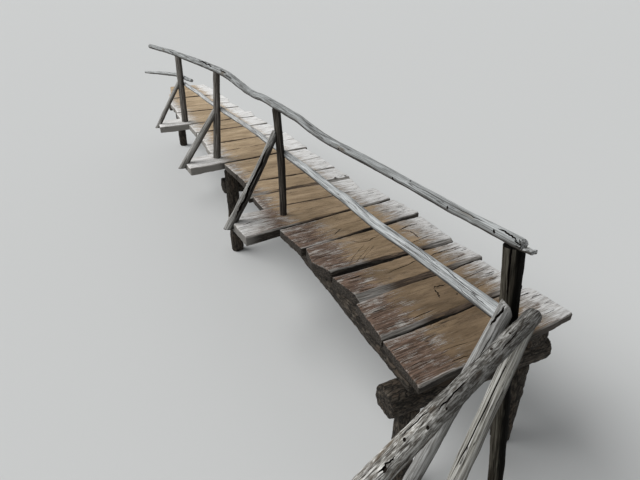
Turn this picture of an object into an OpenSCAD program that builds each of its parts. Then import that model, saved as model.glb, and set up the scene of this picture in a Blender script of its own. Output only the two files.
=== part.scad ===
// Rustic footbridge of split planks on log stringers, with a pole handrail on
// one side. +Y runs along the deck from its near end to its far end, +X is the
// open side, +Z is up. The handrail stands on the -X side.

/* [Deck] */
// Height of the walking surface above the lowest ground
deck_height = 1200; // [900:10:1800]
// Height of the planks' common underside below the walking surface
plank_thickness = 85; // [70:1:100]
// Gap between neighbouring planks
plank_gap = 16; // [8:1:24]
// How far the split edges of a plank wander from a straight line
edge_wander = 6; // [0:1:8]

/* [Logs under the deck] */
// Diameter of the stringer logs before they are hewn flat
stringer_d = 200; // [190:5:210]
// Height of a stringer between its hewn top and bottom
stringer_h = 170; // [150:5:180]
// Diameter of the cross logs before they are hewn flat
sill_d = 220; // [200:5:240]
// Height of a cross log between its hewn top and bottom
sill_h = 180; // [160:5:190]
// Diameter of the legs under the deck
leg_d = 160; // [140:5:180]

/* [Handrail] */
// Height of the top rail's centre line above the walking surface, at its near end
top_rail_z = 965; // [900:5:1050]
// Height of the middle rail's centre line above the walking surface
mid_rail_z = 540; // [500:5:600]
// Diameter of the top rail at its near end
top_rail_d = 56; // [50:1:64]
// Diameter of the middle rail near its thick end
mid_rail_d = 70; // [60:1:76]

/* [Hidden] */
// One row for each plank: width at the left end and at the right end, x of the
// near left, far left, near right and far right corner, height of its top over
// the walking surface, width of its near shoulder at the left and at the right.
PLANKS = [
    [420, 400,  -670,  -650, 660, 630, -20, 15, 15],
    [410, 420,  -650,  -620, 600, 560,  -5, 30, 25],
    [370, 320,  -570,  -630, 600, 550,   5, 65, 20],
    [460, 550,  -600,  -630, 570, 590,  10, 12, 40],
    [420, 430,  -660,  -700, 630, 580,   0, 12, 12],
    [440, 330, -1020, -1050, 560, 550,   8, 20, 12],
    [390, 390,  -680,  -680, 420, 480,  -6, 45, 35],
    [360, 370,  -720,  -640, 490, 470,   0, 50, 40],
    [320, 430,  -640,  -650, 470, 470,   4, 12, 12],
    [430, 430,  -650,  -680, 480, 460,  -4, 12, 12],
    [430, 440, -1090, -1120, 490, 480,   6, 12, 12],
    [390, 370,  -730,  -720, 490, 500,   0, 20, 12],
    [320, 310,  -700,  -700, 470, 430,   5, 12, 12],
    [340, 300,  -700,  -690, 470, 430,  -4, 12, 12],
    [510, 490,  -700,  -700, 440, 390,   2, 20, 12],
    [400, 360, -1130, -1090, 390, 440,   8, 12, 12],
    [440, 420,  -745,  -735, 350, 350,  -4, 12, 12],
    [400, 390,  -715,  -700, 350, 300,   4, 15, 12],
    [400, 390,  -710,  -700, 300, 360,   0, 12, 12],
    [400, 400,  -675,  -640, 360, 340,  -4, 15, 12],
    [400, 400,  -650,  -580, 340, 320,   4, 12, 12],
    [400, 400,  -550,  -490, 320, 300,   0, 12, 12],
    [400, 390,  -480,  -430, 300, 280,  -4, 12, 12]
];
// Where the first plank's near edge meets the left and right deck edge
first_edge = [-50, 50];
seam_left_x = -640;
seam_right_x = 500;
// Seams that gape: which one, and how much wider it is than the others at the
// left and at the right deck edge
OPEN_SEAMS = [[3, 66, 12], [4, -4, 56]];
// The plank whose worn left end bulges, and how far it stands out
bulged_plank = 3;
worn_end_bulge = 60;
shoulder_slope = 35;
long_planks = [5, 10, 15];
edge_steps = 6;
walk_surface = 0;
underside = -plank_thickness;
stringer_bottom = underside - stringer_h;
sill_bottom = stringer_bottom - sill_h;

// How deep a log is let into what it stands on or is fastened to
let_in = 4;
// Rows of cross logs: y, and the x of the left and of the right stringer
near_row = [200, -535, 400];
mid_row = [4100, -430, 230];
far_row = [8950, -350, 150];
sill_overhang = 190;
// Legs beside the middle cross log, which rise to the planks
mid_legs_x = [-610, 410];
mid_legs_y = 3950;
mid_leg_lap = 30;

// Top rail: x, y, height over its level, diameter factor
TOP_RAIL = [
    [-477, -400, 2, 0.75], [-480, -310, 1, 1.02], [-486, -155, 0, 0.90],
    [-491, -20, -4, 0.86], [-497, 110, -6, 0.94], [-503, 270, -4, 0.92],
    [-511, 430, -1, 0.88], [-518, 620, 0, 0.93], [-530, 900, -1, 0.98],
    [-542, 1200, -3, 0.98], [-547, 1350, -5, 1.02], [-553, 1500, 2, 1.07],
    [-560, 1650, 15, 1.14], [-568, 1830, 38, 1.12], [-575, 2010, 43, 1.12],
    [-586, 2300, 52, 1.18], [-591, 2630, 51, 1.10], [-594, 2790, 42, 1.15],
    [-598, 2990, 42, 1.20], [-601, 3290, 58, 1.28], [-607, 3620, 83, 1.36],
    [-612, 3950, 86, 1.38], [-621, 4330, 78, 1.34], [-645, 4850, 68, 1.38],
    [-667, 5360, 52, 1.36], [-693, 5950, 32, 1.34], [-744, 6490, 29, 1.28],
    [-812, 7040, 14, 1.20], [-885, 7640, 0, 1.20]
];
// Middle rail, near piece and far piece, laid out in the same way
MID_RAIL_NEAR = [
    [-424, -300, -3, 1.12], [-427, -200, -3, 1.13], [-430, -130, -2, 1.12],
    [-435, 20, 2, 1.07], [-441, 180, 2, 0.99], [-450, 450, 3, 0.97],
    [-458, 680, -1, 1.00], [-462, 800, -3, 1.00], [-466, 930, 3, 0.98],
    [-471, 1060, 13, 0.99], [-475, 1200, 22, 0.98], [-481, 1360, 20, 0.91],
    [-487, 1520, 26, 0.90], [-495, 1760, 37, 0.93], [-505, 2040, 40, 0.90],
    [-514, 2290, 46, 0.82]
];
MID_RAIL_FAR = [
    [-518, 2290, 46, 0.72], [-533, 2760, 43, 0.69], [-542, 2940, 53, 0.71],
    [-554, 3220, 53, 0.64], [-567, 3560, 48, 0.65], [-582, 3960, 41, 0.71],
    [-594, 4300, 40, 0.76], [-607, 4750, 28, 0.66], [-619, 5280, 33, 0.74],
    [-635, 5880, 21, 0.68], [-641, 6200, 16, 0.66]
];
// Loose pole tied in beyond the last post
FAR_POLE = [
    [-612, 5740, 136, 0.60], [-630, 6000, 120, 0.72], [-643, 6200, 114, 0.78],
    [-690, 6480, 112, 0.80], [-742, 6840, 76, 0.80], [-823, 7410, 16, 0.76],
    [-891, 7950, -49, 0.70], [-935, 8550, -124, 0.55]
];

// Handrail posts, far to near: foot x and y, head x and y, how far the head is
// over the top rail's near level, diameter at the foot and at the head
POSTS = [
    [-717, 6130, -700, 6120,  2, 94, 90],
    [-705, 4190, -615, 4170, 52, 92, 76],
    [-560, 2285, -586, 2290, 27, 66, 70]
];
// Braces of these posts: head x and y, head height over the walking surface,
// foot y, diameter at the foot and at the head
BRACES = [
    [-715, 6130, 630, 6150, 66, 60],
    [-631, 4190, 625, 4150, 84, 72],
    [-597, 2288, 805, 2330, 92, 62]
];
// How far a brace reaches down past the top of its long plank
brace_drop = 55;

// First post, which stands in the ground before the deck, and its brace
first_post_foot = [-374, -530, -deck_height];
first_post_head = [-476, -295, top_rail_z - 22];
first_post_d = [72, 88];
first_brace_foot = [-1170, -270, -deck_height];
first_brace_head = [-525, -372, 698];
first_brace_d = [84, 72];
// Approach post and the two logs that lead to it from the first post
approach_post_d = 130;
approach_post_x = -1710;
approach_post_y = -978;
approach_post_z = 650;
approach_rail_d = 78;
approach_rail_z = 600;
APPROACH_RAIL = [
    [-388, -403, 18, 0.98], [-824, -556, 3, 1.00], [-1141, -669, -3, 1.04],
    [-1376, -751, -17, 1.04], [-1745, -882, -35, 1.06]
];
strut_foot = [-1594, -845, -deck_height];
strut_head = [-419, -405, 580];
strut_d = [82, 72];

// Extreme edges, from which the origin is put under the middle of the box
box_left = approach_post_x - approach_post_d / 2;
box_right = max([for (p = PLANKS) max(p[4], p[5])]);
box_near = approach_post_y - approach_post_d / 2;
box_far = max([for (p = far_edge(len(PLANKS) - 1)) p[1]]);
origin = [(box_left + box_right) / 2, (box_near + box_far) / 2, -deck_height];

silvered = [0.66, 0.66, 0.64];
trodden = [0.68, 0.60, 0.50];
bark_brown = [0.33, 0.28, 0.23];
round_faces = 48;
log_sides = 12;
// More than any piece is long or wide, for the blocks that cut it
ample = 3000;

PLANK_NODES = [for (i = [1 : len(PLANKS)]) str("deck_plank_", i < 10 ? "0" : "", i)];

function running_total(v, n) = n == 0 ? 0 : v[n - 1] + running_total(v, n - 1);
function unit(v) = v / norm(v);
function between(a, b, t) = a * (1 - t) + b * t;

// Place of seam i between two planks, measured along the deck, at a given x
function seam(i, x) =
    between(first_edge[0] + running_total([for (p = PLANKS) p[0]], i),
            first_edge[1] + running_total([for (p = PLANKS) p[1]], i),
            (x - seam_left_x) / (seam_right_x - seam_left_x));

function extra_gap(i, x) = running_total([for (s = OPEN_SEAMS) s[0] == i
    ? between(s[1], s[2], (x - seam_left_x) / (seam_right_x - seam_left_x)) : 0], len(OPEN_SEAMS));
function half_gap(i, x) = (plank_gap + extra_gap(i, x)) / 2;
function plank_top(i) = walk_surface + PLANKS[i][6];
// Middle of a plank's left end
function left_end(i) = (PLANKS[i][2] + PLANKS[i][3]) / 2;

// Point on a smooth curve between b and c, with neighbours a and d
function curve(a, b, c, d, t) =
    b + 0.5 * t * (c - a + t * (2 * a - 5 * b + 4 * c - d + t * (3 * (b - c) + d - a)));

function smooth(pts, steps) =
    let (n = len(pts) - 1)
    concat(
        [for (i = [0 : n - 1], k = [0 : steps - 1])
            curve(pts[max(i - 1, 0)], pts[i], pts[i + 1], pts[min(i + 2, n)], k / steps)],
        [pts[n]]);

function place(p) = [p[0], p[1], p[2]];

// Radius of a peeled log at ring i and angle a, with its slow bumps
function bumpy(r, i, a, seed) =
    r * (1 + 0.04 * sin(2 * a + seed) + 0.03 * sin(97 * i + 3 * a + seed));

// Log swept along a route of points x, y, z, radius. A lying log has square
// ends, and an upright one is cut level, where it stands on something.
module log_along(route, upright = false, seed = 0) {
    n = len(route);
    reference = upright ? [0, 1, 0] : [0, 0, 1];
    points = [for (i = [0 : n - 1], k = [0 : log_sides - 1])
        let (d = unit(place(route[min(i + 1, n - 1)]) - place(route[max(i - 1, 0)])),
             s = unit(cross(d, reference)),
             u = cross(s, d),
             a = 360 * k / log_sides,
             out = bumpy(route[i][3], i, a, seed) * (cos(a) * s + sin(a) * u))
        place(route[i]) + (upright ? out - d * out[2] / d[2] : out)];
    sheath = [for (i = [0 : n - 2], k = [0 : log_sides - 1])
        let (j = (k + 1) % log_sides)
        [i * log_sides + k, i * log_sides + j, (i + 1) * log_sides + j, (i + 1) * log_sides + k]];
    caps = [[for (k = [log_sides - 1 : -1 : 0]) k],
            [for (k = [0 : log_sides - 1]) (n - 1) * log_sides + k]];
    polyhedron(points, concat(sheath, caps), convexity = 4);
}

// Rail through points whose heights are counted from its own level
module rail(points, level, d, seed = 0) {
    log_along(smooth([for (p = points) [p[0], p[1], level + p[2], d * p[3] / 2]], 3), seed = seed);
}

// Upright or slanted log from foot to head, with its diameters there
module upright(foot, head, d, seed = 0) {
    rings = 6;
    log_along([for (k = [0 : rings])
        concat(between(foot, head, k / rings), [between(d[0], d[1], k / rings) / 2])],
        upright = true, seed = seed);
}

// Corners of plank i along its near and far seam, which wander a little
function near_x(i, k) = between(PLANKS[i][2], PLANKS[i][4], k / edge_steps);
function far_x(i, k) = between(PLANKS[i][3], PLANKS[i][5], k / edge_steps);
function near_edge(i) = [for (k = [0 : edge_steps])
    let (x = near_x(i, k)) [x, seam(i, x) + half_gap(i, x) + edge_wander * sin(197 * i + 143 * k)]];
function far_edge(i) = [for (k = [edge_steps : -1 : 0])
    let (x = far_x(i, k)) [x, seam(i + 1, x) - half_gap(i + 1, x) + edge_wander * sin(197 * i + 97 * k + 60)]];
function worn_end(i) = i == bulged_plank
    ? [[left_end(i) - worn_end_bulge, (seam(i, seam_left_x) + seam(i + 1, seam_left_x)) / 2]]
    : [];

// Block whose sloping underside cuts the near shoulder of plank i
module shoulder_cut(i) {
    p = PLANKS[i];
    left = [p[2], seam(i, p[2]) + half_gap(i, p[2]) + p[7]];
    right = [p[4], seam(i, p[4]) + half_gap(i, p[4]) + p[8]];
    along = right - left;
    translate([left[0], left[1], plank_top(i)])
        rotate([0, 0, atan2(along[1], along[0])])
        rotate([shoulder_slope, 0, 0])
        translate([-ample / 2, -ample, 0])
        cube([2 * ample, ample, ample]);
}

// Split plank between two seams, with a hewn shoulder on its near edge
module plank(i) {
    color(trodden) difference() {
        translate([0, 0, underside])
            linear_extrude(plank_top(i) - underside)
            polygon(concat(near_edge(i), far_edge(i), worn_end(i)));
        shoulder_cut(i);
    }
}

// Log along Y, hewn flat above and below
module stringer(row_a, row_b, side) {
    a = [row_a[side], row_a[0]];
    b = [row_b[side], row_b[0]];
    run = norm(b - a);
    end_a = row_a == near_row ? sill_d / 2 : 0;
    end_b = row_b == far_row ? sill_d / 2 : 0;
    color(bark_brown)
        translate([a[0], a[1], (underside + stringer_bottom) / 2])
        rotate(atan2(b[1] - a[1], b[0] - a[0]))
        intersection() {
            translate([-end_a, 0, 0])
                rotate([0, 90, 0])
                cylinder(d = stringer_d, h = run + end_a + end_b, $fn = round_faces);
            translate([-end_a, -stringer_d / 2, -stringer_h / 2])
                cube([run + end_a + end_b, stringer_d, stringer_h]);
        }
}

// Cross log from x left to x right, hewn flat above and below, and on its near
// side as far as near_flat from its middle
module cross_log(y, left, right, near_flat) {
    color(bark_brown)
        translate([left, y, (stringer_bottom + sill_bottom) / 2])
        intersection() {
            rotate([0, 90, 0]) cylinder(d = sill_d, h = right - left, $fn = round_faces);
            translate([0, -near_flat, -sill_h / 2])
                cube([right - left, near_flat + sill_d / 2, sill_h]);
        }
}

module sill(row) {
    cross_log(row[0], row[1] - sill_overhang, row[2] + sill_overhang, sill_d / 2);
}

// Middle cross log, let into the far side of the two legs beside it
module mid_sill() {
    flat = mid_row[0] - (mid_legs_y + leg_d / 2 - mid_leg_lap);
    cross_log(mid_row[0], mid_legs_x[0] - leg_d / 2, mid_legs_x[1] + leg_d / 2, flat);
}

// Round leg from the lowest ground up to the cross log
module leg(row, side) {
    color(bark_brown)
        translate([row[side], row[0], -deck_height])
        cylinder(d = leg_d, h = deck_height + sill_bottom, $fn = round_faces);
}

// Leg from the lowest ground up to the planks, notched for the cross log
module mid_leg(side) {
    color(bark_brown) difference() {
        translate([mid_legs_x[side], mid_legs_y, -deck_height])
            cylinder(d = leg_d, h = deck_height + underside, $fn = round_faces);
        translate([mid_legs_x[side] - leg_d, mid_legs_y + leg_d / 2 - mid_leg_lap, sill_bottom])
            cube([2 * leg_d, leg_d, sill_h]);
    }
}

// Handrail post k, set a little into its long plank
module post(k) {
    p = POSTS[k];
    base = plank_top(long_planks[2 - k]) - let_in;
    color(bark_brown)
        upright([p[0], p[1], base], [p[2], p[3], top_rail_z + p[4]], [p[5], p[6]], seed = 80 * k);
}

// Left face of post k at the height of its brace's head
function post_face(k) =
    let (p = POSTS[k], t = BRACES[k][2] / (top_rail_z + p[4]))
    between(p[0] - p[5] / 2, p[2] - p[6] / 2, t) + let_in;

// Slanted brace k, from the end of its long plank up to the post, cut flat where
// its foot lies against the plank's end and where its head meets the post
module brace(k) {
    b = BRACES[k];
    i = long_planks[2 - k];
    foot = [left_end(i) - b[4] / 2 + let_in, b[3], plank_top(i) - brace_drop];
    color(silvered) difference() {
        upright(foot, [b[0], b[1], b[2]], [b[4], b[5]], seed = 50 + 70 * k);
        translate([left_end(i), b[3] - ample / 2, plank_top(i) - ample])
            cube([ample, ample, ample]);
        translate([post_face(k), b[1] - ample / 2, plank_top(i)])
            cube([ample, ample, ample]);
    }
}

module top_rail() {
    color(silvered) rail(TOP_RAIL, top_rail_z, top_rail_d, seed = 10);
}

module mid_rail_near() {
    color(silvered) rail(MID_RAIL_NEAR, mid_rail_z, mid_rail_d, seed = 40);
}

module mid_rail_far() {
    color(silvered) rail(MID_RAIL_FAR, mid_rail_z, mid_rail_d, seed = 70);
}

module far_pole() {
    color(silvered) rail(FAR_POLE, mid_rail_z, mid_rail_d, seed = 100);
}

module first_post() {
    color(bark_brown) upright(first_post_foot, first_post_head, first_post_d, seed = 130);
}

module first_brace() {
    color(silvered) upright(first_brace_foot, first_brace_head, first_brace_d, seed = 160);
}

module approach_rail() {
    color(silvered) rail(APPROACH_RAIL, approach_rail_z, approach_rail_d, seed = 190);
}

module approach_strut() {
    color(silvered) upright(strut_foot, strut_head, strut_d, seed = 220);
}

module approach_post() {
    color(silvered)
        translate([approach_post_x, approach_post_y, -deck_height])
        cylinder(d = approach_post_d, h = deck_height + approach_post_z, $fn = round_faces);
}

// Shows one node, or all of them
module shown(name) {
    translate(-origin) children();
}

for (i = [0 : len(PLANKS) - 1]) shown(PLANK_NODES[i]) plank(i);
shown("stringer_near_left") stringer(near_row, mid_row, 1);
shown("stringer_near_right") stringer(near_row, mid_row, 2);
shown("stringer_far_left") stringer(mid_row, far_row, 1);
shown("stringer_far_right") stringer(mid_row, far_row, 2);
shown("near_sill") sill(near_row);
shown("mid_sill") mid_sill();
shown("far_sill") sill(far_row);
shown("near_leg_left") leg(near_row, 1);
shown("near_leg_right") leg(near_row, 2);
shown("mid_leg_left") mid_leg(0);
shown("mid_leg_right") mid_leg(1);
shown("far_leg_left") leg(far_row, 1);
shown("far_leg_right") leg(far_row, 2);
shown("post_far") post(0);
shown("post_mid") post(1);
shown("post_near") post(2);
shown("brace_far") brace(0);
shown("brace_mid") brace(1);
shown("brace_near") brace(2);
shown("top_rail") top_rail();
shown("mid_rail_near") mid_rail_near();
shown("mid_rail_far") mid_rail_far();
shown("far_pole") far_pole();
shown("first_post") first_post();
shown("first_brace") first_brace();
shown("approach_rail") approach_rail();
shown("approach_strut") approach_strut();
shown("approach_post") approach_post();
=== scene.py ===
# Rustic footbridge: split planks laid across log stringers, with a handrail of
# peeled poles along the left side. Metres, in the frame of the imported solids.
import bpy
import math
import random
from mathutils import Matrix, Vector
from mathutils.interpolate import poly_3d_calc


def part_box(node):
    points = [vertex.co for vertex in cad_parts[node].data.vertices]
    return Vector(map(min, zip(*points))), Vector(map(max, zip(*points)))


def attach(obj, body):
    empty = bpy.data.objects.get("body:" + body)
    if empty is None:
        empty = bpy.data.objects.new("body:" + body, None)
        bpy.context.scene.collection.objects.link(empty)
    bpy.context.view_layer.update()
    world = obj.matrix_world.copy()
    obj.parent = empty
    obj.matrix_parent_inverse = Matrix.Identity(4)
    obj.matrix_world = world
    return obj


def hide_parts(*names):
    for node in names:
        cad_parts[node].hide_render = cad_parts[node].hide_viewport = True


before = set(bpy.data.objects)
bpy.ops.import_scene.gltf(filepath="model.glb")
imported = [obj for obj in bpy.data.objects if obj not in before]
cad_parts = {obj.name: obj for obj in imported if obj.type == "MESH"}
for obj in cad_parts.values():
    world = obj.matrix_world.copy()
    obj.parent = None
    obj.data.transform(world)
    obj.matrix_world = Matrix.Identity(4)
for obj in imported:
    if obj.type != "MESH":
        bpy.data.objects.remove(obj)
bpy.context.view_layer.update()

# Middle of the walking surface's near end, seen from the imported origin
DECK_START = Vector((0.5575, -4.075516, 1.2))
FLOOR = 0.0


def on_deck(x, y, z):
    """Place given in millimetres from the near end of the walking surface."""
    return Vector((x, y, z)) / 1000 + DECK_START


# Picking and editing


def only(*pieces):
    if bpy.context.object and bpy.context.object.mode != 'OBJECT':
        bpy.ops.object.mode_set(mode='OBJECT')
    bpy.ops.object.select_all(action='DESELECT')
    for piece in pieces:
        piece.select_set(True)
    bpy.context.view_layer.objects.active = pieces[0]


def edit(piece, part, wanted):
    """Opens the piece in edit mode with the wanted faces or edges picked."""
    only(piece)
    bpy.ops.object.mode_set(mode='EDIT')
    bpy.ops.mesh.select_mode(type=part)
    bpy.ops.mesh.select_all(action='DESELECT')
    bpy.ops.object.mode_set(mode='OBJECT')
    mesh = piece.data
    for item in (mesh.polygons if part == 'FACE' else mesh.edges):
        item.select = wanted(item)
    bpy.ops.object.mode_set(mode='EDIT')


def done():
    bpy.ops.object.mode_set(mode='OBJECT')


def apply(piece, kind, **settings):
    only(piece)
    bpy.ops.object.modifier_add(type=kind)
    modifier = piece.modifiers[-1]
    for key, value in settings.items():
        setattr(modifier, key, value)
    bpy.ops.object.modifier_apply(modifier=modifier.name)


def discard(*pieces):
    for piece in pieces:
        bpy.data.objects.remove(piece)


# Lumps and furrows


def weather(piece, size, amount, stretch=(1, 1, 1), hard=False, turn=0.0, at=(0, 0, 0)):
    """Pushes the surface in and out by lumps of a size, drawn out along an axis."""
    lumps = bpy.data.textures.new("lumps", 'CLOUDS')
    lumps.noise_scale = size
    lumps.noise_depth = 2
    lumps.noise_type = 'HARD_NOISE' if hard else 'SOFT_NOISE'
    guide = bpy.data.objects.new("guide", None)
    bpy.context.collection.objects.link(guide)
    guide.scale = stretch
    guide.location = at
    guide.rotation_euler = (0, 0, turn)
    bpy.context.view_layer.update()
    apply(piece, 'DISPLACE', texture=lumps, texture_coords='OBJECT', texture_coords_object=guide,
          strength=amount, mid_level=0.5)
    discard(guide)


# Camera

PITCH = math.radians(28.2)
HEADING = math.radians(25)
EYE = on_deck(-1975, -1562, 1923)
LOOK = Vector((math.cos(PITCH) * math.sin(HEADING), math.cos(PITCH) * math.cos(HEADING), -math.sin(PITCH)))
RIGHT = Vector((math.cos(HEADING), -math.sin(HEADING), 0))
ABOVE = RIGHT.cross(LOOK)
IMAGE = (640, 480)
LENS = 27
SENSOR = 36
FOCAL = LENS / SENSOR * IMAGE[0]


def sight(px, py):
    return (LOOK + RIGHT * ((px - IMAGE[0] / 2) / FOCAL) + ABOVE * ((IMAGE[1] / 2 - py) / FOCAL)).normalized()


def add_camera():
    bpy.ops.object.camera_add()
    camera = bpy.context.object
    camera.name = "camera"
    camera.data.lens = LENS
    camera.data.sensor_width = SENSOR
    camera.data.clip_end = 1000
    turn = Matrix((RIGHT, ABOVE, -LOOK)).transposed()
    camera.matrix_world = Matrix.Translation(EYE) @ turn.to_4x4()
    bpy.context.scene.camera = camera


def touch(piece, px, py):
    """Where the line of sight through a point of the picture meets the piece."""
    hit, place, normal, _ = piece.ray_cast(EYE, sight(px, py))
    return (place, normal) if hit else None


# Woods

# What a second word in a node's kind sets
CHOICES = {"Math": "operation", "VectorMath": "operation", "MapRange": "interpolation_type",
           "Mix": "data_type", "Attribute": "attribute_name"}
TIMES = "Math MULTIPLY"
PLUS = "Math ADD"
MINUS = "Math SUBTRACT"
TIMES_PLUS = "Math MULTIPLY_ADD"
LARGER = "Math MAXIMUM"
RISE = "MapRange SMOOTHSTEP"
MIX = "Mix RGBA"
TONES = "ValToRGB"


def linear(hex_colour):
    parts = [int(hex_colour[i:i + 2], 16) / 255 for i in (1, 3, 5)]
    return tuple(c / 12.92 if c <= 0.04045 else ((c + 0.055) / 1.055) ** 2.4 for c in parts) + (1.0,)


def add(tree, kind, *values, steps=(), **named):
    """Adds a node. Its inputs take numbers, hex colours, nodes or outputs, in
    order or by name; steps are a colour ramp's places and colours."""
    kind, _, choice = kind.partition(" ")
    node = tree.nodes.new("ShaderNode" + kind)
    if choice:
        setattr(node, CHOICES[kind], choice)
    if steps:
        marks = node.color_ramp.elements
        while len(marks) < len(steps):
            marks.new(0.5)
        for element, (place, colour) in zip(marks, steps):
            element.position = place
            element.color = linear(colour)
    inputs = list(zip([socket for socket in node.inputs if socket.enabled], values))
    inputs += [(node.inputs[name.replace("_", " ")], value) for name, value in named.items()]
    for socket, value in inputs:
        if isinstance(value, bpy.types.Node):
            value = next(output for output in value.outputs if output.enabled)
        if isinstance(value, bpy.types.NodeSocket):
            tree.links.new(value, socket)
        else:
            socket.default_value = linear(value) if isinstance(value, str) else value
    return node


def new_wood(name):
    wood = bpy.data.materials.new(name)
    wood.use_nodes = True
    wood.node_tree.nodes.clear()
    return wood, wood.node_tree


def surface(tree, colour, height=None, roughness=0.85, shine=0.25, relief=0.8, depth=0.005):
    """Closes a wood: its shader, and a bump from the height."""
    shader = add(tree, "BsdfPrincipled", Base_Color=colour, Roughness=roughness, Specular_IOR_Level=shine)
    if height is not None:
        bump = add(tree, "Bump", Height=height, Strength=relief, Distance=depth)
        tree.links.new(bump.outputs[0], shader.inputs["Normal"])
    add(tree, "OutputMaterial", shader)


def fibres(tree, grain, lengthwise, crosswise, detail=3.0, roughness=0.55, swirl=0.0):
    """Noise drawn out along the grain. The two scales are 1000 divided by a size
    in millimetres: 110 across draws fibres 9 mm wide."""
    drawn = add(tree, "VectorMath MULTIPLY", grain, (lengthwise, crosswise, crosswise))
    return add(tree, "TexNoise", Vector=drawn, Scale=1.0, Detail=detail, Roughness=roughness,
               Distortion=swirl)


def hairline(tree, noise, width):
    """Thin line where the noise crosses its middle."""
    off = add(tree, "Math ABSOLUTE", add(tree, MINUS, noise, 0.5))
    return add(tree, RISE, off, width, 0.0)


def stain_and_shade(tree, colour, mask, share, overlay_colour):
    """Lays the overlay colour over the colour where the mask is 1, as strongly as
    the share; it lays real stains and marks, and painted shade.
    """
    return add(tree, MIX, add(tree, TIMES, mask, share), colour, overlay_colour)


def open_sky(tree):
    """0 at the shaded near end of the deck, 1 at its far end, where the sky is open."""
    place = add(tree, "SeparateXYZ", add(tree, "TexCoord").outputs["Object"])
    return add(tree, RISE, place.outputs["Y"], -2.6, 1.6)


def brighten(tree, colour, amount, gain):
    """Brightens the colour by the gain where the amount is 1."""
    return add(tree, "VectorMath SCALE", colour, add(tree, TIMES_PLUS, amount, gain, 1.0))
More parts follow.
